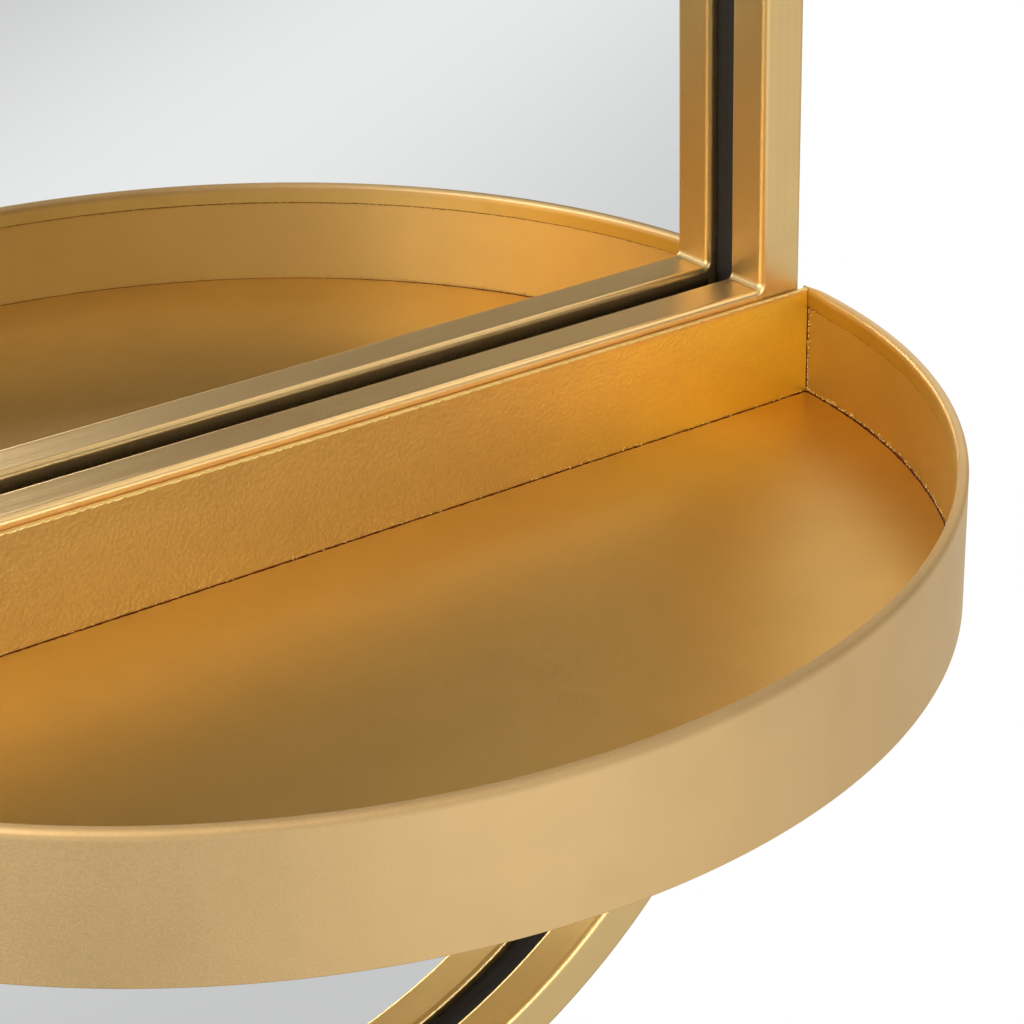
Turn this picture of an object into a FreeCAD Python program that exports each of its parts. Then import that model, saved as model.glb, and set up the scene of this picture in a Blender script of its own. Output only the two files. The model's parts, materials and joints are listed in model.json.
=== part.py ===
import FreeCAD
import Part
import math
import os

# Wall mirror in a capsule frame of square tube, with a half-round tray shelf on a crossbar.
# Millimetres. +Z is up, +X is to the right seen from the front, and the wall lies towards +Y.
# The origin is midway between the two keyholes, on the back face of the hanger plates.

V = FreeCAD.Vector
UP = V(0, 0, 1)
TO_WALL = V(0, 1, 0)

# Frame: two rails, two arches and a crossbar of one square tube
frame_width = 305.0
frame_height = 610.0
tube_size = 12.0
tube_wall = 1.2
tube_corner = 1.5
weld_fillet = 1.5

# Shelf: a tray of sheet metal whose back wall stands on the front of the frame
shelf_radius = 155.0
shelf_depth = 147.0
shelf_rise = 47.0          # rim above the centre of the bottom arch
crossbar_rise = 1.5        # top of the crossbar above the rim
wall_height = 31.0
floor_drop = 27.0          # rim down to the floor
sheet = 1.2
hem_length = 5.2
back_wall_thickness = 2.0
back_wall_round = 0.9
seam_gap = 0.4
tack_leg = 2.4
tack_length = 12.0
tack_count = 7             # along the curved wall
tack_end = 8.0             # back wall to the nearest tack
bead_leg = 3.0
bead_length = 25.0
bead_count = 5             # under the crossbar
bead_end = 8.0             # rail to the nearest bead

# Mirror, its rubber seat and its board
glass_thickness = 3.0
board_thickness = 4.0
gasket_thickness = 4.0
gasket_width = 1.7
edge_clearance = 0.7       # glass and board to the posts

# Band that hides the edge of the glass and the board
band_thickness = 1.5
band_depth = 10.0

# Posts welded to the back of the tube, and the screws in their ends
post_diameter = 5.0
post_inset = 4.5           # outer side of the frame to the middle of a post
screw_diameter = 3.0
screw_head_diameter = 6.0
screw_head_height = 1.6
screw_slot_width = 0.8
screw_slot_depth = 0.7
thread_length = 6.0
thread_gap = 0.05
blind_end = 1.0

# Turn buttons that hold the board
button_width = 8.0
button_reach = 18.0        # pivot to the tip
button_thickness = 1.2
button_gap = 0.3           # to the board and to the screw head
pivot_clearance = 0.08
button_upper_drop = 132.5  # below the centre of the top arch
button_lower_rise = 42.5   # above the centre of the bottom arch

# Keyhole hangers
hanger_drop = 32.5         # keyholes below the centre of the top arch
hanger_thickness = 1.5
hanger_width = 30.0
hanger_length = 56.0
hanger_corner = 3.0
hanger_edge = 4.0          # outer edge of the plate to its screws
hanger_screw_pitch = 40.0
hanger_hole_clearance = 0.2
hanger_space = 4.0         # room for a wall screw's head, plate to board
keyhole_inset = 15.0       # row of screws to the keyhole
keyhole_entry = 9.0
keyhole_slot = 4.6
keyhole_rise = 9.0
wall_gap = 2.0             # hanger plate to the wall

# Rubber bumpers between the board and the wall
bumper_diameter = 10.0
bumper_round = 1.0
bumper_inset = 45.0        # side edge of the board to the middle of a bumper

# Places along Y, from the hanger plates forward
hanger_front = -hanger_thickness
board_back = hanger_front - hanger_space
glass_back = board_back - board_thickness
glass_front = glass_back - glass_thickness
tube_back = glass_front - gasket_thickness
tube_front = tube_back - tube_size
tube_middle = tube_back - tube_size / 2

# Places along Z and the radii of the capsule outlines
frame_radius = frame_width / 2
half_straight = (frame_height - frame_width) / 2
top_centre = V(0, 0, hanger_drop)
bottom_centre = V(0, 0, hanger_drop - 2 * half_straight)
middle_z = hanger_drop - half_straight
tube_radius = frame_radius - tube_size / 2
inner_radius = frame_radius - tube_size
post_radius = frame_radius - post_inset
glass_radius = post_radius - post_diameter / 2 - edge_clearance
rim_z = bottom_centre.z + shelf_rise
wall_bottom_z = rim_z - wall_height
hem_z = rim_z - hem_length
floor_z = rim_z - floor_drop
floor_under_z = floor_z - sheet
crossbar_top = rim_z + crossbar_rise
crossbar_bottom = crossbar_top - tube_size
crossbar_middle = crossbar_top - tube_size / 2

# Plan of the shelf
plan_centre = V(0, tube_front - shelf_depth + shelf_radius, 0)
wall_inside = shelf_radius - sheet
hem_inside = shelf_radius - 2 * sheet
back_wall_front = tube_front - back_wall_thickness


def mirrored(shape):
    """The same piece on the other side of the centre plane."""
    return shape.mirror(V(0, 0, 0), V(1, 0, 0))


def rounded_square(size, corner):
    """Face in the XY plane, centred on the origin."""
    square = Part.makePlane(size, size, V(-size / 2, -size / 2, 0))
    block = square.extrude(UP)
    edges = [e for e in block.Edges if abs(e.tangentAt(e.FirstParameter).z) > 0.99]
    block = block.makeFillet(corner, edges)
    return [f for f in block.Faces if f.normalAt(0, 0).z < -0.99][0].copy()


def tube(sweep):
    """Hollow tube: sweep makes a solid from a section, for the outside and for the bore."""
    bore = tube_size - 2 * tube_wall
    outside = sweep(rounded_square(tube_size, tube_corner))
    return outside.cut(sweep(rounded_square(bore, max(tube_corner - tube_wall, 0.3))))


def sweep_rail(section):
    """Straight right-hand side of the frame."""
    section.translate(V(tube_radius, tube_middle, bottom_centre.z))
    return section.extrude(top_centre - bottom_centre)


def sweep_arch(section):
    """Half circle over the top of the frame."""
    section.translate(V(tube_radius, tube_middle, top_centre.z))
    return section.revolve(top_centre, -TO_WALL, 180)


def sweep_bottom_arch(section):
    """Half circle under the frame."""
    section.translate(V(tube_radius, tube_middle, bottom_centre.z))
    return section.revolve(bottom_centre, TO_WALL, 180)


def sweep_crossbar(section):
    """Bar between the inner sides of the rails."""
    section.rotate(V(0, 0, 0), TO_WALL, 90)
    section.translate(V(-inner_radius, tube_middle, crossbar_middle))
    return section.extrude(V(2 * inner_radius, 0, 0))


def corner_fill(corner_z, up):
    """Quarter turn of the tube's section that rounds one corner between a rail and the crossbar."""
    centre = V(inner_radius - weld_fillet, 0, corner_z + up * weld_fillet)
    section = rounded_square(tube_size, tube_corner)
    section.translate(V(tube_radius, tube_middle, centre.z))
    return section.revolve(centre, up * TO_WALL, 90)


def crossbar_welds():
    """Weld metal that rounds the corners where the crossbar meets the rails, ground flush in front."""
    rail = sweep_rail(rounded_square(tube_size, tube_corner))
    bar = sweep_crossbar(rounded_square(tube_size, tube_corner))
    weld = corner_fill(crossbar_top, 1).fuse(corner_fill(crossbar_bottom, -1)).cut(rail.fuse(bar))
    return Part.makeCompound(weld.Solids + mirrored(weld).Solids)


def plan(radius, z, height, back):
    """Prism on the shelf's plan: a half circle, squared off at the plane Y = back."""
    reach = 2 * (radius + shelf_depth)
    disc = Part.makeCylinder(radius, height, plan_centre + V(0, 0, z))
    legs = Part.makeBox(2 * radius, reach, height, plan_centre + V(-radius, 0, z))
    front = Part.makeBox(2 * reach, reach, height, V(-reach, back - reach, z))
    return disc.fuse(legs).common(front).removeSplitter()


def front_wall():
    """Rolled strip with its top edge folded inwards as a flat hem."""
    x, z = shelf_radius, rim_z
    y = plan_centre.y
    outline = [
        Part.makeLine(V(x, y, wall_bottom_z), V(x, y, z - sheet)),
        Part.Arc(V(x, y, z - sheet), V(x - sheet, y, z), V(hem_inside, y, z - sheet)).toShape(),
        Part.makeLine(V(hem_inside, y, z - sheet), V(hem_inside, y, hem_z)),
        Part.makeLine(V(hem_inside, y, hem_z), V(wall_inside, y, hem_z)),
        Part.makeLine(V(wall_inside, y, hem_z), V(wall_inside, y, wall_bottom_z)),
        Part.makeLine(V(wall_inside, y, wall_bottom_z), V(x, y, wall_bottom_z)),
    ]
    section = Part.Face(Part.Wire(outline))
    wall = section.revolve(plan_centre, UP, -180)
    if y < tube_front:
        leg = section.extrude(V(0, tube_front - y, 0))
        return wall.fuse([leg, mirrored(leg)]).removeSplitter()
    reach = 2 * shelf_radius
    behind = Part.makeBox(2 * reach, reach, 2 * wall_height, V(-reach, tube_front, wall_bottom_z - wall_height / 2))
    return wall.cut(behind)


def back_wall():
    """Flat strip with a rounded top edge, let in between the ends of the curved wall."""
    strip = Part.makeBox(2 * shelf_radius, back_wall_thickness, wall_height,
                         V(-shelf_radius, back_wall_front, wall_bottom_z))
    top = [e for e in strip.Edges if e.BoundBox.ZMin > rim_z - 0.01 and e.BoundBox.XLength > shelf_radius]
    strip = strip.makeFillet(back_wall_round, top)
    step_z = hem_z - seam_gap
    below_hem = plan(wall_inside - seam_gap, wall_bottom_z, step_z - wall_bottom_z, tube_front)
    beside_hem = plan(hem_inside - seam_gap, step_z, rim_z - step_z, tube_front)
    return strip.common(below_hem).fuse(strip.common(beside_hem)).removeSplitter()


def shelf_floor():
    """Flat sheet let in between the walls."""
    return plan(wall_inside - seam_gap, floor_under_z, sheet, back_wall_front - seam_gap)


def floor_tacks():
    """Tack welds under the floor, along the curved wall and the back wall."""
    leg = tack_leg + seam_gap
    y = plan_centre.y
    turn = math.degrees(tack_length / wall_inside)
    last = max(plan_centre.y - back_wall_front + tack_end + tack_length, tack_end + tack_length)
    spread = math.degrees(math.acos(last / wall_inside))
    section = Part.Face(Part.makePolygon([
        V(wall_inside, y, floor_under_z),
        V(wall_inside - leg, y, floor_under_z),
        V(wall_inside, y, floor_under_z - tack_leg),
        V(wall_inside, y, floor_under_z),
    ]))
    tacks = []
    for i in range(tack_count):
        tack = section.revolve(plan_centre, UP, -turn)
        share = 2 * i / (tack_count - 1) - 1
        tack.rotate(plan_centre, UP, share * spread - 90 + turn / 2)
        tacks.append(tack)
    behind = Part.Face(Part.makePolygon([
        V(0, back_wall_front, floor_under_z),
        V(0, back_wall_front - leg, floor_under_z),
        V(0, back_wall_front, floor_under_z - tack_leg),
        V(0, back_wall_front, floor_under_z),
    ]))
    for side in (-1, 0, 1):
        tack = behind.extrude(V(tack_length, 0, 0))
        tack.translate(V(side * inner_radius / 2 - tack_length / 2, 0, 0))
        tacks.append(tack)
    return Part.makeCompound(tacks)


def shelf_welds():
    """Beads in the corner under the crossbar, between it and the back of the shelf."""
    section = Part.Face(Part.makePolygon([
        V(0, tube_front, crossbar_bottom),
        V(0, tube_front + tube_corner + bead_leg, crossbar_bottom),
        V(0, tube_front, crossbar_bottom - bead_leg),
        V(0, tube_front, crossbar_bottom),
    ]))
    pitch = (2 * (inner_radius - bead_end) - bead_length) / (bead_count - 1)
    beads = []
    for i in range(bead_count):
        bead = section.extrude(V(bead_length, 0, 0))
        bead.translate(V(bead_end - inner_radius + i * pitch, 0, 0))
        beads.append(bead)
    return Part.makeCompound(beads)


def capsule(radius, front, back):
    """Prism on a capsule outline with the frame's own arc centres."""
    right, left, up = V(radius, front, 0), V(-radius, front, 0), V(0, front, radius)
    outline = [
        Part.makeLine(bottom_centre + right, top_centre + right),
        Part.Arc(top_centre + right, top_centre + up, top_centre + left).toShape(),
        Part.makeLine(top_centre + left, bottom_centre + left),
        Part.Arc(bottom_centre + left, bottom_centre + V(0, front, -radius), bottom_centre + right).toShape(),
    ]
    return Part.Face(Part.Wire(outline)).extrude(V(0, back - front, 0))


def edge_band(side):
    """Upper (side 1) or lower (side -1) half of the strip round the back of the tube."""
    back = tube_back + band_depth
    ring = capsule(frame_radius, tube_back, back).cut(capsule(frame_radius - band_thickness, tube_back, back))
    low = middle_z if side > 0 else middle_z - frame_height
    half = Part.makeBox(2 * frame_width, band_depth, frame_height, V(-frame_width, tube_back, low))
    return ring.common(half)


def gasket():
    """Rubber seat between the back of the tube and the glass."""
    return capsule(glass_radius, tube_back, glass_front).cut(
        capsule(glass_radius - gasket_width, tube_back, glass_front))


def along_wall(radius, x, z, front, back):
    """Round bar along Y."""
    return Part.makeCylinder(radius, back - front, V(x, front, z), TO_WALL)


def post(x, z, back):
    """Post on the back of the tube with a blind threaded hole in its end."""
    bore = along_wall(screw_diameter / 2 + thread_gap, x, z, back - thread_length - blind_end, back)
    return along_wall(post_diameter / 2, x, z, tube_back, back).cut(bore)


def screw(x, z, seat, post_end):
    """Slotted cheese-head screw with its head on the plane Y = seat."""
    shank = along_wall(screw_diameter / 2, x, z, post_end - thread_length, seat)
    head = along_wall(screw_head_diameter / 2, x, z, seat, seat + screw_head_height)
    slot = Part.makeBox(2 * screw_head_diameter, screw_slot_depth, screw_slot_width,
                        V(x - screw_head_diameter, seat + screw_head_height - screw_slot_depth,
                          z - screw_slot_width / 2))
    return shank.fuse(head.cut(slot)).removeSplitter()


# Pivots of the turn buttons, with the angle that points each one to the middle of the board
buttons = {
    "turn_button_top": (0, top_centre.z + post_radius, 90),
    "turn_button_right_upper": (post_radius, top_centre.z - button_upper_drop, 180),
    "turn_button_right_lower": (post_radius, bottom_centre.z + button_lower_rise, 180),
    "turn_button_bottom": (0, bottom_centre.z - post_radius, -90),
    "turn_button_left_lower": (-post_radius, bottom_centre.z + button_lower_rise, 0),
    "turn_button_left_upper": (-post_radius, top_centre.z - button_upper_drop, 0),
}
button_front = board_back + button_gap
button_seat = button_front + button_thickness + button_gap


def turn_button(x, z, angle):
    """Flat swivel clip with round ends and a pivot hole."""
    half = button_width / 2
    length = button_reach - half
    back = button_front + button_thickness
    plate = along_wall(half, 0, 0, button_front, back)
    tip = along_wall(half, length, 0, button_front, back)
    middle = Part.makeBox(length, button_thickness, button_width, V(0, button_front, -half))
    hole = along_wall(screw_diameter / 2 + pivot_clearance, 0, 0, button_front, back)
    plate = plate.fuse([tip, middle]).removeSplitter().cut(hole)
    plate.rotate(V(0, 0, 0), TO_WALL, angle)
    plate.translate(V(x, 0, z))
    return plate


hanger_screw_places = [(side * post_radius, level * hanger_screw_pitch / 2)
                       for side in (-1, 1) for level in (-1, 1)]


def hanger_plate():
    """Right-hand keyhole plate across the gap between the frame and the board."""
    outer_x = post_radius + hanger_edge
    plate = Part.makeBox(hanger_width, hanger_thickness, hanger_length,
                         V(outer_x - hanger_width, hanger_front, -hanger_length / 2))
    corners = [e for e in plate.Edges if abs(e.tangentAt(e.FirstParameter).y) > 0.99]
    plate = plate.makeFillet(hanger_corner, corners)
    x = post_radius - keyhole_inset
    cuts = [
        along_wall(keyhole_entry / 2, x, 0, hanger_front, 0),
        along_wall(keyhole_slot / 2, x, keyhole_rise, hanger_front, 0),
        Part.makeBox(keyhole_slot, hanger_thickness, keyhole_rise, V(x - keyhole_slot / 2, hanger_front, 0)),
    ]
    for place_x, z in hanger_screw_places:
        if place_x > 0:
            cuts.append(along_wall(screw_diameter / 2 + hanger_hole_clearance, place_x, z, hanger_front, 0))
    return plate.cut(cuts[0].fuse(cuts[1:]))


def bumpers():
    """Round rubber feet on the board that rest on the wall."""
    feet = []
    for x in (bumper_inset - glass_radius, glass_radius - bumper_inset):
        for z in (bottom_centre.z, top_centre.z):
            foot = along_wall(bumper_diameter / 2, x, z, board_back, wall_gap)
            edge = [e for e in foot.Edges if e.BoundBox.YMin > wall_gap - 0.01]
            feet.append(foot.makeFillet(bumper_round, edge))
    return Part.makeCompound(feet)


right_rail = tube(sweep_rail)
right_hanger = hanger_plate()
parts = {
    "right_rail": right_rail,
    "left_rail": mirrored(right_rail),
    "top_arch": tube(sweep_arch),
    "bottom_arch": tube(sweep_bottom_arch),
    "crossbar": tube(sweep_crossbar),
    "crossbar_welds": crossbar_welds(),
    "shelf_front_wall": front_wall(),
    "shelf_back_wall": back_wall(),
    "shelf_floor": shelf_floor(),
    "shelf_floor_tacks": floor_tacks(),
    "shelf_welds": shelf_welds(),
    "upper_edge_band": edge_band(1),
    "lower_edge_band": edge_band(-1),
    "glass_gasket": gasket(),
    "mirror_glass": capsule(glass_radius, glass_front, glass_back),
    "backing_board": capsule(glass_radius, glass_back, board_back),
    "button_posts": Part.makeCompound([post(x, z, board_back) for x, z, angle in buttons.values()]),
    "button_screws": Part.makeCompound([screw(x, z, button_seat, board_back) for x, z, angle in buttons.values()]),
    "hanger_posts": Part.makeCompound([post(x, z, hanger_front) for x, z in hanger_screw_places]),
    "hanger_screws": Part.makeCompound([screw(x, z, 0, hanger_front) for x, z in hanger_screw_places]),
    "hanger_plate_right": right_hanger,
    "hanger_plate_left": mirrored(right_hanger),
    "wall_bumpers": bumpers(),
}
for name, place in buttons.items():
    parts[name] = turn_button(*place)

os.makedirs("parts", exist_ok=True)
for name, shape in parts.items():
    shape.exportStep("parts/" + name + ".step")
    box = shape.BoundBox
    print(name, "solids", len(shape.Solids), "valid", shape.isValid(), "volume", round(shape.Volume, 1),
          "x", round(box.XMin, 2), round(box.XMax, 2), "y", round(box.YMin, 2), round(box.YMax, 2),
          "z", round(box.ZMin, 2), round(box.ZMax, 2))
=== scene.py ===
"""Capsule wall mirror with a half-round tray shelf, sprayed in satin gold lacquer.

The frame's own solids carry the tubes, glass and fixings. The sheet-metal tray is drawn again here with
its folded rim, paint-bridged seams and sprayed surface, in the same place and size as its solids.
"""
import json
import math

import bpy
import numpy as np
from mathutils import Matrix, Vector


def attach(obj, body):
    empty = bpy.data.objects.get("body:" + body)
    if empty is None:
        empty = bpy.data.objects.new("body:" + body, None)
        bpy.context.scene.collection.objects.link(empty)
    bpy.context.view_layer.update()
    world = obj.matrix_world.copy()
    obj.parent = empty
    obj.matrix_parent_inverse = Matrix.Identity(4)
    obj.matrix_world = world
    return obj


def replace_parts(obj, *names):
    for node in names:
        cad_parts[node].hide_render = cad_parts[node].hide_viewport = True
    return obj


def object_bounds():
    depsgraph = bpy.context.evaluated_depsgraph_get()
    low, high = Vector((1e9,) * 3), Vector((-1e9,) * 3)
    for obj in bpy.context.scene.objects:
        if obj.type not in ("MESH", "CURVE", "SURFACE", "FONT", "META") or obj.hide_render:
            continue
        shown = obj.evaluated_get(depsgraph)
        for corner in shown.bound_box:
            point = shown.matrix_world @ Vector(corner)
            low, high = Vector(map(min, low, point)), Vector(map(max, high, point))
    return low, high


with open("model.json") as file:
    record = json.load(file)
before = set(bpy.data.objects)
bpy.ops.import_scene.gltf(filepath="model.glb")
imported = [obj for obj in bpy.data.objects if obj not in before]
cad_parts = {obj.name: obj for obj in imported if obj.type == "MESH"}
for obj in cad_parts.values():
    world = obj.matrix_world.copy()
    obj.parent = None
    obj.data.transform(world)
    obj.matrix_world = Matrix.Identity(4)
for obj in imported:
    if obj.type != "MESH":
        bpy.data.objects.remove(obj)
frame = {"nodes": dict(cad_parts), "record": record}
cad_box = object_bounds()
nodes = frame["nodes"]
MM = 0.001

# Tray, in millimetres: the curved wall is part of a circle about (0, PLAN_Y), cut off at the frame's front
PLAN_Y = -20.5
WALL_OUTSIDE = 155.0
SHEET = 1.2
HEM = 5.2
RIM_Z = -225.5
WALL_FOOT_Z = -256.5
FLOOR_Z = -252.5
FRAME_FRONT_Y = -28.5
BACK_WALL_Y = -30.5
SEAM = 0.4
WALL_INSIDE = WALL_OUTSIDE - SHEET
HEM_Z = RIM_Z - HEM
BACK_TOP_Z = RIM_Z - 0.5
WALL_ROWS = 481
BACK_ROWS = 901
FLOOR_COLUMNS = 1440

# Edges of the tray's sheets, in millimetres and radians
CUT_ROUND = 0.25
FOLD_ROUND = 1.05
HEM_ROUND = 0.2
TUCK_ROUND = 0.12
EDGE_WANDER = 0.1
END_PROUD = 0.2
PRESSED_LENGTH = 14.0
SUNK_LENGTH = 7.0
FOLD_TOP = 1.5
HEM_JOINT = math.radians(69.8)
JOINT_STEP = 0.12
JOINT_WIDTH = 0.008
SLOT = 0.45
SLOT_TOP_Z = RIM_Z - 3.6
SLOT_FOOT_Z = RIM_Z - 4.2
BEAD_REACH = 0.45
FLOOR_LIP = 0.25
FLOOR_BOW = 0.25
BOW_LENGTH = 61.0
FLOOR_MIDDLE = (0.0, -78.0)
ARC_SHARE = 0.62
GAP_LEAST = 0.06
GAP_AT_ENDS = 0.4
GAP_WANDER = 0.12

# Grains of lacquer on each half of the tray: how many lie along each seam, and their radii in millimetres
UPRIGHT_NIBS = 120
FOOT_NIBS = 300
FRONT_NIBS = 90
FOLD_NIBS = 170
BACK_NIBS = 130
NIB_LEAST = 0.1
NIB_MOST = 0.28
NIB_SIDES = 6

# Frame and glass, in millimetres: the capsule's two arch centres, the tube's faces and the glass
TOP_CENTRE_Z = 32.5
BOTTOM_CENTRE_Z = -272.5
TUBE_INSIDE = 140.5
TUBE_BACK_Y = -16.5
BAR_TOP_Z = -224.0
GLASS_RADIUS = 144.8
GLASS_BACK_Y = -9.5
SKIN = 0.05
LINE_STRETCH = 500.0

# Lacquer: sizes and heights of its relief in millimetres, its roughness, and how far sheen and tone swing
PEEL_SIZE = 0.45
PEEL_HEIGHT = 0.025
PEBBLE_SIZE = 0.9
PEBBLE_HEIGHT = 0.06
WAVE_SIZE = 6.0
WAVE_HEIGHT = 0.02
DIE_LINE_SIZE = 2.5
DIE_LINE_HEIGHT = 0.12
CLOUD_SIZE = 15.0
SPECK_SIZE = 0.4
SATIN = 0.40
WALL_SATIN = 0.50
BACK_SATIN = 0.42
SHEEN_SWING = 0.08
TONE_SWING = 0.06

# Lacquer: where its shade changes, in millimetres, and by how much
WALL_ENDS = (112, 150)
BACK_ENDS = (60, 145)
EDGE_BAND = (-1.4, -0.6)
RIM_BAND = (-2.2, -0.8)
OUTER_SKIN = (-1.5, -0.5)
INNER_SHARE = 0.4
SOFT_RIM_Y = (-150, -90)
SOFT_RIM = 0.26
# Painted shade: where and how far the front of the rim is darkened towards black, dimming its highlight
RIM_FRONT_SHADE_Y = (-170, -115)
RIM_FRONT_SHADE = 0.24
# Painted shadow under the rim's fold: its drop below the fold, its width and its breaks
FOLD_LINE_DROP = 0.15
FOLD_LINE = (0.2, 0.45)
FOLD_LINE_BREAKS = (0.36, 0.5, 0.1, 0.85)
TUBE_CORNER = 1.2
# Painted shade on the tube's back: how far in from its edge it darkens, and its speckles
GOLD_ON_BACK = (1.2, 4.5)
BACK_SKIN = (-0.3, -0.03)
SPECKS = (0.54, 0.66, 1.0, 0.75)

# Shades
GOLD = "#E4C487"
# Painted light: the crossbar's gold is a lighter copy of the lacquer
BAR_LIT_GOLD = "#FFD692"
WALL_GOLD = "#E1BF87"
# Painted shade: the curved wall's inner face is a darker, yellower copy of its gold
WALL_INSIDE_SHADE = "#D6BF7E"
# Painted reflected light: the curved wall's and back wall's shades towards the tray's ends
WALL_END_REFLECTION = "#C89C40"
# Painted light: the back wall's gold is a lighter copy of the lacquer
BACK_LIT_GOLD = "#F5D182"
BACK_END_REFLECTION = "#FFE86C"
# Painted shade: the floor's gold is a darker copy of the lacquer
FLOOR_SHADED_GOLD = "#D9AD60"
GRAIN_GOLD = "#D9B56C"
# Painted shade: the inner face of the rails and top arch is a darker copy of the gold
TUBE_INSIDE_SHADE = "#D4AF6A"
# Painted light: the bottom arch's inner face is a lighter copy of the gold
ARCH_INSIDE_LIGHT = "#FFDA8E"
# Painted shade on the tube's back, in its gap to the glass
TUBE_BACK_SHADE = "#7A6038"
# Painted shade in brown inside the seams' gaps
SEAM_SHADE_BROWN = "#A4502A"
# Painted shadow under the rim's fold
FOLD_SHADOW_BROWN = "#3A1E0C"
BLACK = "#000000"
SILVER = "#E8E9E9"
GROUND_GLASS = ("#5E6B66", "#74807B")
RUBBER = ("#0B0A09", "#1B1917")
# Painted reflection: the gasket's rubber is tinted warm brown, like the gold around it reflected in the gap
GASKET_WARM_REFLECTION = ("#120C06", "#241A0C")
FIBRES = ("#5A3B22", "#8A6440")
BOARD_CLOUDS = "#77532F"
ZINC = ("#B4B9BF", "#C6C1AE")
FLOOR_GREY = "#D8D8D8"

# Camera: a long lens in front, to the left and above the shelf, looking right and down at its right end
PHOTO_SIDE = 1024
FOCAL_PIXELS = 2783.6
SENSOR_MM = 36.0
CAMERA_PLACE = (-0.26074, -0.49738, 0.01557)
CAMERA_YAW = math.radians(34.93)
CAMERA_PITCH = math.radians(25.71)
CAMERA_ROLL = math.radians(-1.67)

# Stage, in metres: the floor, its pool of light, the shadow under the object and the room's brightness
FLOOR_DROP = 0.30
STAGE_HALF = 12.0
POOL_ACROSS = (0.547, 0.837, 0.0)
POOL_ALONG = (0.837, -0.547, 0.0)
POOL_DISTANCE = 0.81
POOL_REACH = 0.62
POOL_BRIGHT = 1.0
POOL_DIM = 0.70
POOL_FADE = 0.50
FADE_ALONG = (-0.2, 0.5)
SHADOW_FOOT = (0.0, -0.05, 0.0)
SHADOW_EDGE = (0.2, 0.5)
SHADOW_SHARE = 0.5
ROOM_DIM = 0.08
ROOM_IN_MIRROR = 0.8
ROOM_EDGE = (0.0, 0.5)
MIRROR_DEPTH = 2.5
LIT_POINT = (0.0, -0.1, -0.24)


# Surfaces

def put_mesh(name, points, quads, caps):
    """Smooth mesh from points in millimetres, an array of quads and a list of other faces. It rides on the
    frame."""
    mesh = bpy.data.meshes.new(name)
    mesh.from_pydata(points * MM, [], [*quads.tolist(), *caps])
    mesh.polygons.foreach_set("use_smooth", np.full(len(mesh.polygons), True))
    mesh.update()
    piece = bpy.data.objects.new(name, mesh)
    bpy.context.scene.collection.objects.link(piece)
    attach(piece, "mirror_frame")
    return piece


def ring_quads(rows, columns):
    """Quads between neighbouring rows of a grid of points whose rows are closed rings."""
    row = np.arange(rows - 1)[:, None] * columns
    j = np.arange(columns)[None, :]
    beside = (j + 1) % columns
    corners = [row + j, row + columns + j, row + columns + beside, row + beside]
    return np.stack(corners, -1).reshape(-1, 4)


def put_sweep(name, points, turned=False):
    """Mesh from a grid of points with one closed section a row, its first and last section capped."""
    rows, columns = points.shape[:2]
    quads = ring_quads(rows, columns)
    first = list(range(columns))
    last = list(range((rows - 1) * columns, rows * columns))
    if turned:
        return put_mesh(name, points.reshape(-1, 3), quads[:, ::-1], [first[::-1], last])
    return put_mesh(name, points.reshape(-1, 3), quads, [first, last[::-1]])


def unit(vectors):
    """The same directions at length 1."""
    return vectors / np.linalg.norm(vectors, axis=-1, keepdims=True)


def rounded_profile(corners, radii, steps=6, hold=0.1):
    """Closed outline with each corner replaced by an arc: the arc's centre lies on the corner's bisector, a
    radius over the sine of half the angle away, and one more point on each straight holds the flats flat."""
    p = np.asarray(corners, float)
    r = np.asarray(radii, float)[:, None]
    back, ahead = unit(np.roll(p, 1, 0) - p), unit(np.roll(p, -1, 0) - p)
    half = np.arccos(np.clip((back * ahead).sum(1, keepdims=True), -1, 1)) / 2
    tangent = r / np.tan(half)
    centre = p + unit(back + ahead) * r / np.sin(half)
    first, last = p + back * tangent, p + ahead * tangent
    t = np.linspace(0, 1, steps + 1)[None, :, None]
    spokes = unit((1 - t) * (first - centre)[:, None] + t * (last - centre)[:, None])
    arcs = centre[:, None] + r[:, None] * spokes
    before, after = p + back * (tangent + hold), p + ahead * (tangent + hold)
    return np.concatenate([before[:, None], arcs, after[:, None]], 1).reshape(-1, 2)


def ripple(t, amplitude, waves, seed):
    """Smooth seeded wobble along t from 0 to 1: sines of the given numbers of waves with random phases."""
    phase = np.random.default_rng(seed).uniform(0, 2 * np.pi, len(waves))
    sines = np.sin(2 * np.pi * np.outer(t, waves) + phase)
    return amplitude * sines.sum(1) / math.sqrt(len(waves))


def ease(t):
    """0 below 0, 1 above 1 and a smooth step between."""
    t = np.clip(t, 0, 1)
    return t * t * (3 - 2 * t)


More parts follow.
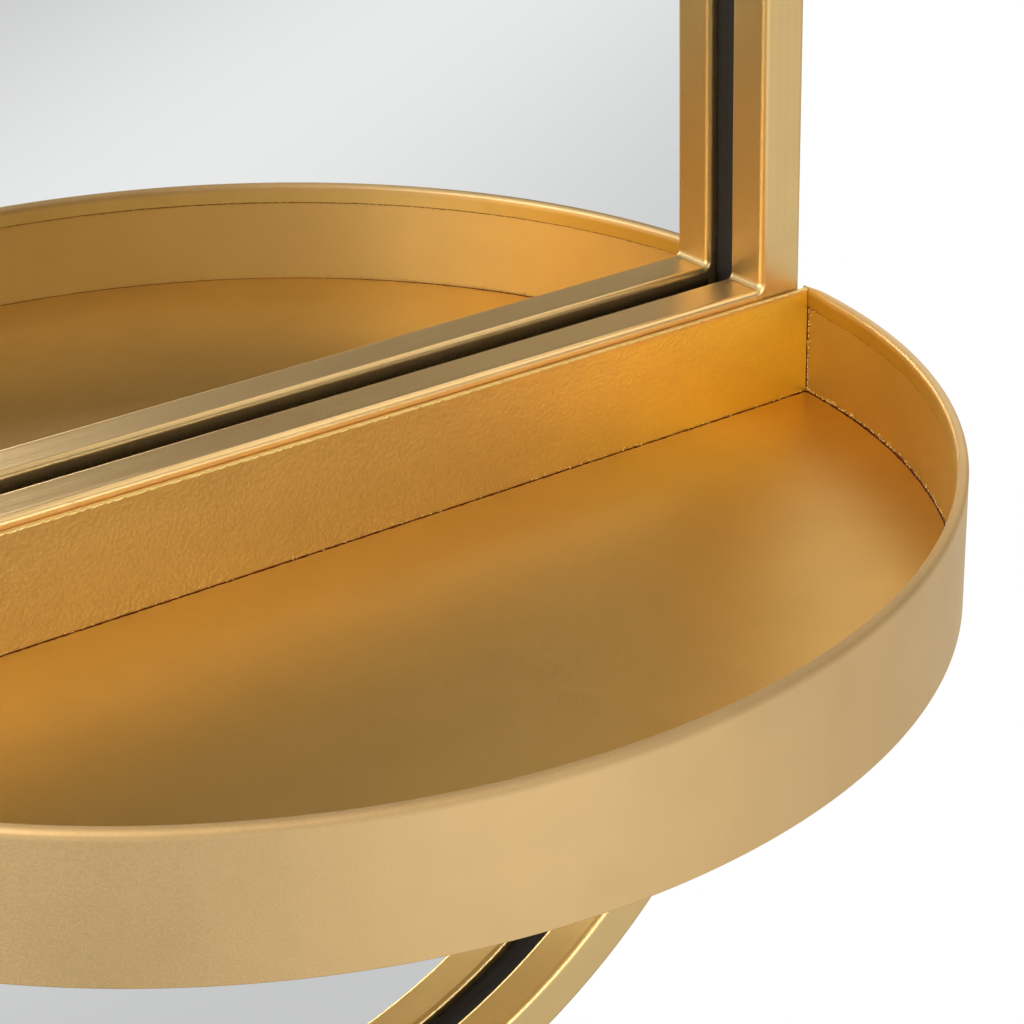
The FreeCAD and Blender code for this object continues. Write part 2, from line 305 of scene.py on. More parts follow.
def curved_wall():
    """Section of the rolled strip, its rim folded inwards, turned about the plan centre from one end to the
    other. The fold is pressed flatter and lower at its ends, steps at its joint, and its cut edge wanders."""
    folded = WALL_OUTSIDE - 2 * SHEET
    section = rounded_profile(
        [(WALL_OUTSIDE, WALL_FOOT_Z), (WALL_OUTSIDE, RIM_Z), (folded, RIM_Z),
         (folded, HEM_Z), (WALL_INSIDE, HEM_Z), (WALL_INSIDE, WALL_FOOT_Z)],
        [CUT_ROUND, FOLD_ROUND, FOLD_ROUND, HEM_ROUND, TUCK_ROUND, CUT_ROUND])
    flat_r, flat_z = section[:, 0][None], section[:, 1][None]
    t = np.linspace(0, 1, WALL_ROWS)
    from_end = np.minimum(t, 1 - t)[:, None] * math.pi * WALL_OUTSIDE
    past_joint = t[:, None] * math.pi - HEM_JOINT
    proud = END_PROUD + (1 - END_PROUD) * ease(from_end / PRESSED_LENGTH)
    proud = proud + JOINT_STEP * ease(past_joint / JOINT_WIDTH)
    r = np.where(flat_r < WALL_INSIDE, WALL_INSIDE - (WALL_INSIDE - flat_r) * proud, flat_r)
    cut_edge = (np.abs(flat_z - HEM_Z) < 0.5) & (flat_r < WALL_INSIDE - 0.3)
    z = flat_z + np.where(cut_edge, ripple(t, EDGE_WANDER, [31, 83, 140], 4)[:, None], 0)
    sunk = (RIM_Z - BACK_TOP_Z) * (1 - ease(from_end / SUNK_LENGTH))
    z = z - np.where(z > RIM_Z - FOLD_TOP, sunk, 0)
    lead = np.arcsin((PLAN_Y - FRAME_FRONT_Y) / r)
    angle = lead + t[:, None] * (math.pi - 2 * lead)
    points = np.stack([r * np.cos(angle), PLAN_Y - r * np.sin(angle), z + 0 * r], -1)
    return put_sweep("tray_curved_wall", points)


def back_wall():
    """Section of the flat strip, carried along X from end to end inside the curved wall: its top edge is
    rounded and stands a hair off the crossbar, which leaves the dark line behind it, and paint has run into
    beads along it."""
    slot_y = FRAME_FRONT_Y - SLOT
    section = rounded_profile(
        [(BACK_WALL_Y, WALL_FOOT_Z), (FRAME_FRONT_Y, WALL_FOOT_Z), (FRAME_FRONT_Y, SLOT_FOOT_Z),
         (slot_y, SLOT_TOP_Z), (slot_y, BACK_TOP_Z), (BACK_WALL_Y, BACK_TOP_Z)],
        [0.2, 0.2, 0.1, 0.1, 0.6, 0.5])
    y, z = section[:, 0][None], section[:, 1][None]
    t = np.concatenate([[-1, -0.9985], np.linspace(-0.997, 0.997, BACK_ROWS), [0.9985, 1]])[:, None]
    front_edge = (y < BACK_WALL_Y + BEAD_REACH) & (z > BACK_TOP_Z - BEAD_REACH)
    runs = ripple(t[:, 0] / 2 + 0.5, EDGE_WANDER, [67, 113, 151, 203], 6)
    beads = np.where(front_edge, np.maximum(runs, 0)[:, None], 0)
    reach = np.sqrt((WALL_INSIDE - SEAM) ** 2 - (PLAN_Y - y) ** 2)
    torn = ripple((z[0] - WALL_FOOT_Z) / (RIM_Z - WALL_FOOT_Z), EDGE_WANDER, [3, 7, 11], 9)
    ragged = np.where(np.abs(t) > 0.999, torn[None], 0)
    points = np.stack([t * reach + ragged, y - beads, z + beads], -1)
    return put_sweep("tray_back_wall", points, turned=True)


def floor_outline(t):
    """Edge of the floor sheet at t from 0 to 1: round the arc inside the curved wall, then back along the
    straight edge. The gap to the walls wanders where paint has bridged it and all but closes in front."""
    back_y = BACK_WALL_Y - SEAM
    lead = math.asin((PLAN_Y - back_y) / WALL_INSIDE)
    on_arc = np.clip(t / ARC_SHARE, 0, 1)
    angle = lead + on_arc * (math.pi - 2 * lead)
    open_at_ends = ease((np.abs(on_arc - 0.5) - 0.22) / 0.2)
    bridged = np.abs(ripple(t, GAP_WANDER, [61, 143, 307], 2)) * (0.2 + 0.8 * open_at_ends)
    radius = WALL_INSIDE - (GAP_LEAST + GAP_AT_ENDS * open_at_ends + bridged)
    along = np.clip((t - ARC_SHARE) / (1 - ARC_SHARE), 0, 1)
    half = math.sqrt((WALL_INSIDE - SEAM) ** 2 - (PLAN_Y - back_y) ** 2)
    on_back = t > ARC_SHARE
    x = np.where(on_back, -half + 2 * half * along, radius * np.cos(angle))
    back_edge = back_y + ripple(t, EDGE_WANDER, [97, 211, 389], 3)
    y = np.where(on_back, back_edge, PLAN_Y - radius * np.sin(angle))
    return np.stack([x, y], -1)


def tray_floor():
    """Flat sheet drawn from a middle point out to its outline, over the rounded edge and back underneath; it
    bows by a fraction of a millimetre as thin sheet does."""
    edge = floor_outline(np.arange(FLOOR_COLUMNS) / FLOOR_COLUMNS)
    inset = np.array([1e-4, 0.15, 0.3, 0.45, 0.6, 0.72, 0.82, 0.9, 0.96, 0.985])
    lip = FLOOR_LIP * np.array([[1.6, 0], [1, 0], [0.62, 0.08], [0.29, 0.29], [0.08, 0.62],
                                [0, 1], [0, 1.6]])
    out = edge - np.array(FLOOR_MIDDLE)
    length = np.linalg.norm(out, axis=1)
    near = inset[:, None] * length
    rim = length - lip[:, :1]
    reach = np.concatenate([near, rim, rim[-1:], rim[:1], near[::-1]])
    flat = np.zeros(near.shape)
    level = np.zeros((1, FLOOR_COLUMNS))
    drop = np.broadcast_to(lip[:, 1:], rim.shape)
    depth = np.concatenate([flat, drop, level + SHEET - 0.1, level + SHEET, flat + SHEET])
    plan = np.array(FLOOR_MIDDLE) + out[None] / length[None, :, None] * reach[..., None]
    bow = FLOOR_BOW * (1 - np.clip(reach / length, 0, 1) ** 2)
    z = FLOOR_Z - depth - bow * np.sin(plan[..., 0] / BOW_LENGTH + 0.6)
    return put_sweep("tray_floor_sheet", np.concatenate([plan, z[..., None]], -1))


def small_ball():
    """Points of a ball of radius 1: three rings and the two poles. Its quads and triangles come with it."""
    turn = np.arange(NIB_SIDES) * 2 * math.pi / NIB_SIDES
    tilt = np.array([0.25, 0.5, 0.75]) * math.pi
    rings = np.stack([np.outer(np.sin(tilt), np.cos(turn)), np.outer(np.sin(tilt), np.sin(turn)),
                      np.outer(np.cos(tilt), 0 * turn + 1)], -1).reshape(-1, 3)
    ball = np.concatenate([rings, [[0, 0, 1], [0, 0, -1]]])
    ring = np.arange(NIB_SIDES)
    beside = (ring + 1) % NIB_SIDES
    lowest = len(rings) - NIB_SIDES
    tops = np.stack([0 * ring + len(rings), ring, beside], -1)
    feet = np.stack([0 * ring + len(rings) + 1, lowest + beside, lowest + ring], -1)
    return ball, ring_quads(len(tilt), NIB_SIDES), np.concatenate([tops, feet])


def seam_nibs():
    """Grains of lacquer along the tray's seams: small balls half sunk in the sheets, strewn with seeded
    chance about the upright corners, the floor's edges and the fold, thickest in the corners."""
    rng = np.random.default_rng(11)
    lead = math.asin((PLAN_Y - BACK_WALL_Y) / WALL_INSIDE)
    back_end = math.sqrt(WALL_INSIDE ** 2 - (PLAN_Y - BACK_WALL_Y) ** 2) - 0.5
    near = lambda count, spread: np.abs(rng.normal(0, spread, count))
    round_wall = lambda angle, z: np.stack(
        [WALL_INSIDE * np.cos(angle), PLAN_Y - WALL_INSIDE * np.sin(angle), z + 0 * angle], -1)
    upright_z = rng.uniform(FLOOR_Z, RIM_Z - 1, UPRIGHT_NIBS)
    upright = round_wall(lead + near(UPRIGHT_NIBS, 0.45) / WALL_INSIDE, upright_z)
    foot = round_wall(lead + 1.25 * rng.beta(0.9, 2.2, FOOT_NIBS), FLOOR_Z + near(FOOT_NIBS, 0.45))
    front = round_wall(rng.uniform(1.0, 1.7, FRONT_NIBS), FLOOR_Z + near(FRONT_NIBS, 0.4))
    fold = round_wall(lead + rng.uniform(0, 1.6, FOLD_NIBS), HEM_Z - near(FOLD_NIBS, 0.35))
    back_x = rng.uniform(0, back_end, BACK_NIBS)
    along_back = np.stack([back_x, 0 * back_x + BACK_WALL_Y, FLOOR_Z + near(BACK_NIBS, 0.3)], -1)
    one_half = np.concatenate([upright, foot, front, fold, along_back])
    centres = np.concatenate([one_half, one_half * [-1, 1, 1]])
    radii = rng.uniform(NIB_LEAST, NIB_MOST, len(centres))
    ball, quads, triangles = small_ball()
    points = centres[:, None] + radii[:, None, None] * ball[None]
    starts = (np.arange(len(centres)) * len(ball))[:, None, None]
    all_quads = (quads[None] + starts).reshape(-1, 4)
    all_triangles = (triangles[None] + starts).reshape(-1, 3).tolist()
    return put_mesh("tray_seam_nibs", points.reshape(-1, 3), all_quads, all_triangles)


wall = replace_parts(curved_wall(), "shelf_front_wall")
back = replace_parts(back_wall(), "shelf_back_wall")
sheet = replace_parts(tray_floor(), "shelf_floor")
nibs = seam_nibs()


# Nodes of materials: a value given to one of these helpers is a socket, a number, a vector or a hex colour

def linear(hex_colour):
    """An sRGB hex colour as a linear RGBA tuple."""
    srgb = [int(hex_colour[i:i + 2], 16) / 255 for i in (1, 3, 5)]
    return (*[c / 12.92 if c <= 0.04045 else ((c + 0.055) / 1.055) ** 2.4 for c in srgb], 1.0)


def mm(*lengths):
    """Lengths in millimetres as metres."""
    return [length * MM for length in lengths]


def feed(tree, entry, value):
    """Links an input of a node to a socket, or sets it to a plain value."""
    if isinstance(value, bpy.types.NodeSocket):
        tree.links.new(value, entry)
    else:
        entry.default_value = linear(value) if isinstance(value, str) else value


def add(tree, kind, **settings):
    """Adds a node: a setting is one of its properties or, where it has none of that name, an input."""
    node = tree.nodes.new(kind)
    for name, value in settings.items():
        if hasattr(node, name):
            setattr(node, name, value)
        else:
            feed(tree, node.inputs[name.replace("_", " ")], value)
    return node


def calc(tree, operation, a, b=0.0):
    """Result of one sum, product or comparison."""
    node = add(tree, "ShaderNodeMath", operation=operation)
    feed(tree, node.inputs[0], a)
    feed(tree, node.inputs[1], b)
    return node.outputs["Value"]


def vector_calc(tree, operation, *vectors):
    """Result of one step with vectors, which is a number for a length, a distance or a dot product."""
    node = add(tree, "ShaderNodeVectorMath", operation=operation)
    for entry, vector in zip(node.inputs, vectors):
        feed(tree, entry, vector)
    return node.outputs["Value" if operation in ("LENGTH", "DISTANCE", "DOT_PRODUCT") else "Vector"]


def axes(tree, vector):
    """The three parts of a vector."""
    return add(tree, "ShaderNodeSeparateXYZ", Vector=vector).outputs


def ramp(tree, value, start, end, low=0.0, high=1.0, kind="LINEAR"):
    """Goes from low to high while the value goes from start to end, and stays level outside."""
    node = add(tree, "ShaderNodeMapRange", interpolation_type=kind, Value=value, From_Min=start,
               From_Max=end, To_Min=low, To_Max=high)
    return node.outputs["Result"]


def smooth(tree, value, start, end, low=0.0, high=1.0):
    """The same in a smooth step."""
    return ramp(tree, value, start, end, low, high, "SMOOTHSTEP")


def blend(tree, share, a, b, blend_type="MIX"):
    """A colour that goes from a to b with the share."""
    node = add(tree, "ShaderNodeMix", data_type="RGBA", blend_type=blend_type)
    for index, value in ((0, share), (6, a), (7, b)):
        feed(tree, node.inputs[index], value)
    return node.outputs[2]


def noise(tree, place, size, detail):
    """Soft noise whose patches are about so many millimetres wide."""
    node = add(tree, "ShaderNodeTexNoise", Vector=place, Scale=1 / (size * MM), Detail=detail)
    return node.outputs["Fac"]


def bump(tree, height, depth, under=None, strength=1.0):
    """Relief of so many millimetres, on top of another where there is one."""
    node = add(tree, "ShaderNodeBump", Height=height, Strength=strength, Distance=depth * MM)
    if under:
        feed(tree, node.inputs["Normal"], under)
    return node.outputs["Normal"]


def material(name):
    """A new material with its tree, its output node and the place on the object."""
    made = bpy.data.materials.new(name)
    made.use_nodes = True
    tree = made.node_tree
    tree.nodes.clear()
    out = add(tree, "ShaderNodeOutputMaterial")
    place = add(tree, "ShaderNodeTexCoord").outputs["Object"]
    return made, tree, out, place


def coat(tree, out, **settings):
    """The material's surface."""
    feed(tree, out.inputs["Surface"], add(tree, "ShaderNodeBsdfPrincipled", **settings).outputs["BSDF"])


def along_capsule(tree, place):
    """Coordinates that hardly change along the bent tube: distance from the frame's middle line, depth, and a
    much shortened height."""
    x, y, z = axes(tree, place)
    spine = add(tree, "ShaderNodeClamp", Value=z, Min=BOTTOM_CENTRE_Z * MM, Max=TOP_CENTRE_Z * MM)
    rise = calc(tree, "SUBTRACT", z, spine.outputs["Result"])
    flat = add(tree, "ShaderNodeCombineXYZ", X=x, Z=rise).outputs["Vector"]
    far = vector_calc(tree, "LENGTH", flat)
    slow = calc(tree, "DIVIDE", z, LINE_STRETCH)
    return add(tree, "ShaderNodeCombineXYZ", X=far, Y=y, Z=slow).outputs["Vector"]


def along_bar(tree, place):
    """Coordinates that hardly change along the crossbar."""
    shortened = add(tree, "ShaderNodeMapping", Vector=place, Scale=(1 / LINE_STRETCH, 1.0, 1.0))
    return shortened.outputs["Vector"]


# Materials

def lacquer_relief(tree, place, peel, pebbled, drawn):
    """Orange peel or coarser pebbles on slow waves and, on drawn tube, the die's lines through the paint."""
    relief = bump(tree, noise(tree, place, WAVE_SIZE, 1.0), WAVE_HEIGHT)
    if pebbled:
        pebbles = add(tree, "ShaderNodeTexVoronoi", feature="SMOOTH_F1", Vector=place,
                      Scale=1 / (PEBBLE_SIZE * MM), Smoothness=0.5)
        relief = bump(tree, pebbles.outputs["Distance"], PEBBLE_HEIGHT, relief)
    else:
        relief = bump(tree, peel, PEEL_HEIGHT, relief)
    if drawn:
        relief = bump(tree, noise(tree, drawn(tree, place), DIE_LINE_SIZE, 1.0), DIE_LINE_HEIGHT, relief)
    return relief


def painted_end_reflection(tree, place, middle, ends, reach):
    """Painted reflected light: a shade that changes towards the tray's two ends, below its back wall's top
    edge.
    """
    x, y, z = axes(tree, place)
    to_end = smooth(tree, calc(tree, "ABSOLUTE", x), *mm(*reach))
    below_edge = ramp(tree, z, *mm(BACK_TOP_Z + EDGE_BAND[0], BACK_TOP_Z + EDGE_BAND[1]), 1.0, 0.0)
    return blend(tree, calc(tree, "MULTIPLY", to_end, below_edge), middle, ends)


def fold_shadow_line(tree, height, peel, inner, shade):
    """Painted shadow: a dark broken line under the rim's fold, inside only."""
    off = calc(tree, "ABSOLUTE", calc(tree, "SUBTRACT", height, (HEM_Z - FOLD_LINE_DROP) * MM))
    line = ramp(tree, off, *mm(*FOLD_LINE), 1.0, 0.0)
    broken = ramp(tree, peel, *FOLD_LINE_BREAKS)
    dark = calc(tree, "MULTIPLY", calc(tree, "MULTIPLY", line, broken), inner)
    return blend(tree, dark, shade, FOLD_SHADOW_BROWN)


def shaded_tube_back(tree, place, across, edge, way, shade):
    """Painted shade on the tube's back in its gap to the glass: speckled dark brown a few millimetres in from
    its edge.
    """
    rear = smooth(tree, axes(tree, place)["Y"], *mm(TUBE_BACK_Y + BACK_SKIN[0], TUBE_BACK_Y + BACK_SKIN[1]))
    deep = smooth(tree, across, *mm(edge + GOLD_ON_BACK[0] * way, edge + GOLD_ON_BACK[1] * way))
    back_speckle = ramp(tree, noise(tree, place, SPECK_SIZE, 1.0), *SPECKS)
    # Painted shade: the back darkens in speckles from 1.2 to 4.5 mm in from the tube's edge
    thin = calc(tree, "MULTIPLY", calc(tree, "MULTIPLY", rear, deep), back_speckle)
    return blend(tree, thin, shade, TUBE_BACK_SHADE)


def seam_gap_shade(tree, place, inner, shade):
    """Painted shade, in brown, inside the seams' gaps: below the floor and, on the curved wall's inner side,
    also behind the back wall's ends."""
    x, y, z = axes(tree, place)
    hidden = calc(tree, "LESS_THAN", z, (FLOOR_Z + 0.05) * MM)
    if inner:
        behind = calc(tree, "GREATER_THAN", y, (BACK_WALL_Y + 0.1) * MM)
        below_rim = calc(tree, "LESS_THAN", z, (RIM_Z - 1.2) * MM)
        hidden = calc(tree, "MAXIMUM", hidden, calc(tree, "MULTIPLY", behind, below_rim))
        hidden = calc(tree, "MULTIPLY", hidden, inner)
    return blend(tree, hidden, shade, SEAM_SHADE_BROWN)


def satin_gold_lacquer(name, colour, roughness, inside=None, ends=None, drawn=None, painted_inner_face=None,
                       seam_shade=False, pebbled=False):
    """Metallic gold lacquer sprayed on steel: satin, softly clouded, with a fine orange peel. The curved wall
    has a painted shade inside, is softer along the front of its rim and painted darker there, and has a
    painted shadow under its fold. Towards the tray's ends a painted reflected light changes the shade, and
    the seams' gaps get painted shade. Drawn tube has painted shade on its inner face, painted light on the
    bottom arch's, and painted shade on its back."""
    made, tree, out, place = material(name)
    peel = noise(tree, place, PEEL_SIZE, 1.0)
    relief = lacquer_relief(tree, place, peel, pebbled, drawn)
    gloss = ramp(tree, peel, 0.0, 1.0, roughness - SHEEN_SWING, roughness + SHEEN_SWING)
    base = colour
    inner = None
    # Painted reflected light: towards the tray's ends the shade changes as if coloured by light bounced
    # between the sheets
    if ends:
        base = painted_end_reflection(tree, place, inside or colour, ends, WALL_ENDS if inside else BACK_ENDS)
    if inside:
        x, y, z = axes(tree, place)
        level = vector_calc(tree, "MULTIPLY_ADD", place, (1, 1, 0), (0, -PLAN_Y * MM, 0))
        from_centre = vector_calc(tree, "LENGTH", level)
        outer = ramp(tree, from_centre, *mm(WALL_OUTSIDE + OUTER_SKIN[0], WALL_OUTSIDE + OUTER_SKIN[1]))
        inner = calc(tree, "LESS_THAN", outer, INNER_SHARE)
        rim = ramp(tree, z, *mm(RIM_Z + RIM_BAND[0], RIM_Z + RIM_BAND[1]))
        # Painted shade: the inner face keeps the darker inside copy, while the outside and rim get the plain
        # colour
        base = blend(tree, calc(tree, "MAXIMUM", outer, rim), base, colour)
        softer = calc(tree, "MULTIPLY", rim, smooth(tree, y, *mm(*SOFT_RIM_Y), SOFT_RIM, 0.0))
        # Painted shade: the front of the rim is darkened towards black, dimming its highlight there
        rim_front_shade = calc(tree, "MULTIPLY", rim, smooth(tree, y, *mm(*RIM_FRONT_SHADE_Y), RIM_FRONT_SHADE, 0.0))
        gloss = calc(tree, "ADD", gloss, softer)
    # Painted light and shade on the tube's inner face: darker on the rails and top arch, lighter on the
    # bottom arch
    if painted_inner_face:
        from_middle = axes(tree, drawn(tree, place))["X"]
        facing_in = ramp(tree, from_middle, *mm(TUBE_INSIDE, TUBE_INSIDE + TUBE_CORNER), 1.0, 0.0)
        base = blend(tree, facing_in, base, painted_inner_face)
    clouds = noise(tree, place, CLOUD_SIZE, 2.0)
    tone = ramp(tree, clouds, 0.0, 1.0, 1 - TONE_SWING, 1 + TONE_SWING)
    shade = blend(tree, 1.0, base, tone, "MULTIPLY")
    if inside:
        shade = fold_shadow_line(tree, z, peel, inner, blend(tree, rim_front_shade, shade, BLACK))
    if painted_inner_face:
        shade = shaded_tube_back(tree, place, from_middle, TUBE_INSIDE, 1, shade)
    elif drawn:
        shade = shaded_tube_back(tree, place, axes(tree, drawn(tree, place))["Z"], BAR_TOP_Z, -1, shade)
    # Painted shade inside the seams' gaps
    if seam_shade:
        shade = seam_gap_shade(tree, place, inner, shade)
    coat(tree, out, Base_Color=shade, Roughness=gloss, Normal=relief, Metallic=1.0)
    return made


def silvered_float_glass():
    """Float glass silvered on its back: a mirror in front, a green-grey ground rim, and grey backing paint
    behind."""
    made, tree, out, place = material("silvered_float_glass")
    far, depth, height = axes(tree, along_capsule(tree, place))
    rim = calc(tree, "GREATER_THAN", far, (GLASS_RADIUS - SKIN) * MM)
    behind = calc(tree, "GREATER_THAN", depth, (GLASS_BACK_Y - SKIN) * MM)
    dull = calc(tree, "MAXIMUM", rim, behind)
    ground = blend(tree, noise(tree, place, 0.8, 2.0), *GROUND_GLASS)
    colour = blend(tree, dull, SILVER, ground)
    rough = calc(tree, "MULTIPLY", dull, 0.5)
    coat(tree, out, Base_Color=colour, Roughness=rough, Metallic=calc(tree, "SUBTRACT", 1.0, dull))
    return made


def black_rubber(name, dark, light):
    """Extruded black rubber: matt, with a faint bloom in 3 mm patches and a skin of 0.3 mm grain."""
    made, tree, out, place = material(name)
    bloom = noise(tree, place, 3.0, 3.0)
    rough = ramp(tree, bloom, 0.0, 1.0, 0.5, 0.75)
    skin = bump(tree, noise(tree, place, 0.3, 2.0), 0.02)
    coat(tree, out, Base_Color=blend(tree, bloom, dark, light), Roughness=rough, Normal=skin)
    return made


def hardboard():
    """Pressed hardboard, its back printed by the wire screen it was pressed on: brown fibres about 0.6 mm
    wide and a screen of 1.6 mm, drawn at that size so that it shows."""
    made, tree, out, place = material("hardboard")
    stretched = add(tree, "ShaderNodeMapping", Vector=place, Scale=(0.25, 1.0, 1.0),
                    Rotation=(0.0, 0.6, 0.0))
    fibres = noise(tree, stretched.outputs["Vector"], 0.6, 4.0)
    clouds = noise(tree, place, 40.0, 3.0)
    screen = add(tree, "ShaderNodeTexChecker", Vector=place, Scale=1 / (1.6 * MM)).outputs["Fac"]
    relief = bump(tree, calc(tree, "ADD", screen, fibres), 0.04, strength=0.6)
    colour = blend(tree, clouds, blend(tree, fibres, *FIBRES), BOARD_CLOUDS)
    coat(tree, out, Base_Color=colour, Normal=relief, Roughness=0.72)
    return made


def zinc_plated_steel():
    """Stamped steel, bright zinc plated: a cool grey with a straw tint in 8 mm clouds and fine rolling lines
    0.4 mm apart."""
    made, tree, out, place = material("zinc_plated_steel")
    rolled = add(tree, "ShaderNodeMapping", Vector=place, Scale=(1.0, 1.0, 1 / 30))
    lines = noise(tree, rolled.outputs["Vector"], 0.4, 2.0)
    colour = blend(tree, noise(tree, place, 8.0, 2.0), *ZINC)
    rough = ramp(tree, lines, 0.0, 1.0, 0.24, 0.46)
    coat(tree, out, Base_Color=colour, Roughness=rough, Normal=bump(tree, lines, 0.01), Metallic=1.0)
    return made


finish = {
    "brass_paint": satin_gold_lacquer("satin_gold_lacquer_sheet", GOLD, SATIN),
    "mirror": silvered_float_glass(),
    "black_rubber": black_rubber("black_rubber", *RUBBER),
    "fibreboard": hardboard(),
    "zinc_steel": zinc_plated_steel(),
}
for part in frame["record"]["subparts"]:
    node = nodes[part["node"]]
    node.data.materials.clear()
    node.data.materials.append(finish[part["material_slot"]])

tube = satin_gold_lacquer("satin_gold_lacquer_tube", GOLD, SATIN, drawn=along_capsule,
                          painted_inner_face=TUBE_INSIDE_SHADE)
# Painted light on the bottom arch's inner face
arch = satin_gold_lacquer("satin_gold_lacquer_arch", GOLD, SATIN, drawn=along_capsule,
                          painted_inner_face=ARCH_INSIDE_LIGHT)
own_finish = {
    "right_rail": tube,
    "left_rail": tube,
    "top_arch": tube,
    "bottom_arch": arch,
    # The gasket's warm brown tint is a painted reflection of the gold tube in the gap
    "glass_gasket": black_rubber("rubber_with_painted_reflection", *GASKET_WARM_REFLECTION),
    "crossbar": satin_gold_lacquer("satin_gold_lacquer_bar", BAR_LIT_GOLD, SATIN, drawn=along_bar),
}
for name, made in own_finish.items():
    nodes[name].data.materials[0] = made

wall.data.materials.append(
    satin_gold_lacquer("satin_gold_lacquer_wall", WALL_GOLD, WALL_SATIN, inside=WALL_INSIDE_SHADE,
                       ends=WALL_END_REFLECTION, seam_shade=True))
back.data.materials.append(
    satin_gold_lacquer("satin_gold_lacquer_back", BACK_LIT_GOLD, BACK_SATIN, ends=BACK_END_REFLECTION,
                       seam_shade=True, pebbled=True))
sheet.data.materials.append(satin_gold_lacquer("satin_gold_lacquer_floor", FLOOR_SHADED_GOLD, SATIN))
nibs.data.materials.append(satin_gold_lacquer("satin_gold_lacquer_grains", GRAIN_GOLD, SATIN))


# Stage, light and camera

def pale_floor():
    """Matt pale floor: white to the camera but for the shadow under the object, and in reflections brightest
    along a pool of light in front of the shelf, falling away to both sides over POOL_REACH."""
    made, tree, out, place = material("pale_floor")
    path = add(tree, "ShaderNodeLightPath").outputs
    across = calc(tree, "ADD", vector_calc(tree, "DOT_PRODUCT", place, POOL_ACROSS), POOL_DISTANCE)
    pool = smooth(tree, calc(tree, "ABSOLUTE", across), 0.0, POOL_REACH, POOL_BRIGHT, POOL_DIM)
    fade = smooth(tree, vector_calc(tree, "DOT_PRODUCT", place, POOL_ALONG), *FADE_ALONG, POOL_FADE, 1.0)
    white = calc(tree, "MAXIMUM", path["Is Camera Ray"], calc(tree, "MULTIPLY", pool, fade))
    level = vector_calc(tree, "MULTIPLY", place, (1, 1, 0))
    from_foot = vector_calc(tree, "DISTANCE", level, SHADOW_FOOT)
    open_floor = smooth(tree, from_foot, *SHADOW_EDGE, 1 - SHADOW_SHARE, 1.0)
    to_camera = calc(tree, "MULTIPLY", path["Is Camera Ray"], open_floor)
    seen = calc(tree, "MAXIMUM", to_camera, path["Is Glossy Ray"])
    through = calc(tree, "MAXIMUM", seen, path["Is Transmission Ray"])
    matt = add(tree, "ShaderNodeBsdfDiffuse", Color=FLOOR_GREY).outputs["BSDF"]
    glow = add(tree, "ShaderNodeEmission", Strength=white).outputs["Emission"]
    mix = add(tree, "ShaderNodeMixShader")
    for entry, value in zip(mix.inputs, (through, matt, glow)):
        feed(tree, entry, value)
    feed(tree, out.inputs["Surface"], mix.outputs["Shader"])
    return made


def stage_floor():
    """The floor, square and level under the object."""
    z = cad_box[0][2] - FLOOR_DROP
    corners = [(x * STAGE_HALF, y * STAGE_HALF, z) for x, y in ((-1, -1), (1, -1), (1, 1), (-1, 1))]
    mesh = bpy.data.meshes.new("floor")
    mesh.from_pydata(corners, [], [(0, 1, 2, 3)])
    mesh.materials.append(pale_floor())
    plane = bpy.data.objects.new("floor", mesh)
    bpy.context.scene.collection.objects.link(plane)


def studio_world():
    """White backdrop all round to the camera and behind the object in the metal too; the room in front is
    dim, but pale in the mirror itself, where it is the first thing that a look into the glass meets."""
    world = bpy.data.worlds.new("studio")
    world.use_nodes = True
    tree = world.node_tree
    towards = axes(tree, add(tree, "ShaderNodeTexCoord").outputs["Generated"])
    behind = smooth(tree, towards["Y"], *ROOM_EDGE, ROOM_DIM, 1.0)
    path = add(tree, "ShaderNodeLightPath").outputs
    first = calc(tree, "LESS_THAN", path["Ray Depth"], MIRROR_DEPTH)
    glass = calc(tree, "MULTIPLY", path["Is Singular Ray"], first)
    in_mirror = calc(tree, "MULTIPLY", glass, ROOM_IN_MIRROR)
    seen = calc(tree, "MAXIMUM", path["Is Camera Ray"], in_mirror)
    backdrop = tree.nodes["Background"]
    feed(tree, backdrop.inputs["Color"], (1, 1, 1, 1))
    feed(tree, backdrop.inputs["Strength"], calc(tree, "MAXIMUM", seen, behind))
    bpy.context.scene.world = world


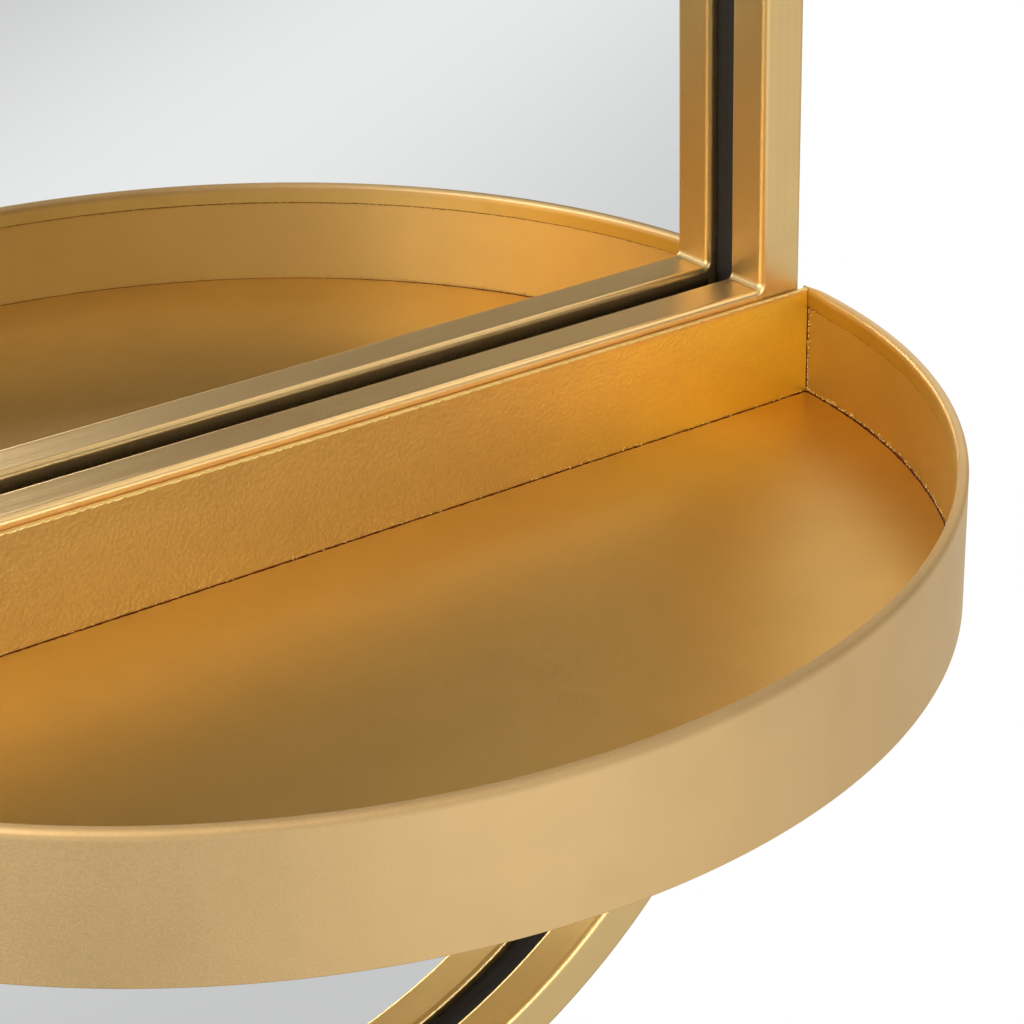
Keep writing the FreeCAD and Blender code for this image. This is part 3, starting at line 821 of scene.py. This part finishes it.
def softbox(name, azimuth, elevation, distance, size, radiance):
    """Rectangular area light round the shelf: azimuth from straight in front towards the right, elevation
    above the shelf, both in degrees, its power the radiance times pi times its area."""
    turn, rise = math.radians(azimuth), math.radians(elevation)
    towards = Vector((math.sin(turn) * math.cos(rise), -math.cos(turn) * math.cos(rise), math.sin(rise)))
    light = bpy.data.lights.new(name, "AREA")
    light.shape = "RECTANGLE"
    light.size, light.size_y = size
    light.energy = radiance * math.pi * size[0] * size[1]
    lamp = bpy.data.objects.new(name, light)
    lamp.location = Vector(LIT_POINT) + towards * distance
    lamp.rotation_euler = (-towards).to_track_quat("-Z", "Y").to_euler()
    bpy.context.scene.collection.objects.link(lamp)


def photo_camera():
    """Camera whose axes come from the yaw, pitch and roll above."""
    sy, cy = math.sin(CAMERA_YAW), math.cos(CAMERA_YAW)
    sp, cp = math.sin(CAMERA_PITCH), math.cos(CAMERA_PITCH)
    ahead = Vector((sy * cp, cy * cp, -sp))
    level = Vector((cy, -sy, 0))
    upright = level.cross(ahead)
    right = math.cos(CAMERA_ROLL) * level + math.sin(CAMERA_ROLL) * upright
    up = math.cos(CAMERA_ROLL) * upright - math.sin(CAMERA_ROLL) * level
    lens = bpy.data.cameras.new("photo_camera")
    lens.sensor_width = SENSOR_MM
    lens.lens = FOCAL_PIXELS * SENSOR_MM / PHOTO_SIDE
    lens.clip_start, lens.clip_end = 0.01, 100
    camera = bpy.data.objects.new("photo_camera", lens)
    turned = Matrix((right, up, -ahead)).transposed().to_4x4()
    camera.matrix_world = Matrix.Translation(CAMERA_PLACE) @ turned
    bpy.context.scene.collection.objects.link(camera)
    bpy.context.scene.camera = camera


stage_floor()
studio_world()
softbox("front_strip", 0, 12, 2.0, (1.6, 0.6), 5.8)
softbox("left_box", -85, 18, 1.6, (1.2, 1.1), 5.6)
softbox("front_left_box", -38, 22, 1.8, (0.7, 0.5), 2.6)
softbox("left_high_box", -31, 60, 1.6, (1.2, 1.0), 1.4)
softbox("right_high_box", 72, 52, 1.6, (1.3, 0.9), 1.5)
photo_camera()
bpy.context.scene.view_settings.view_transform = "Standard"
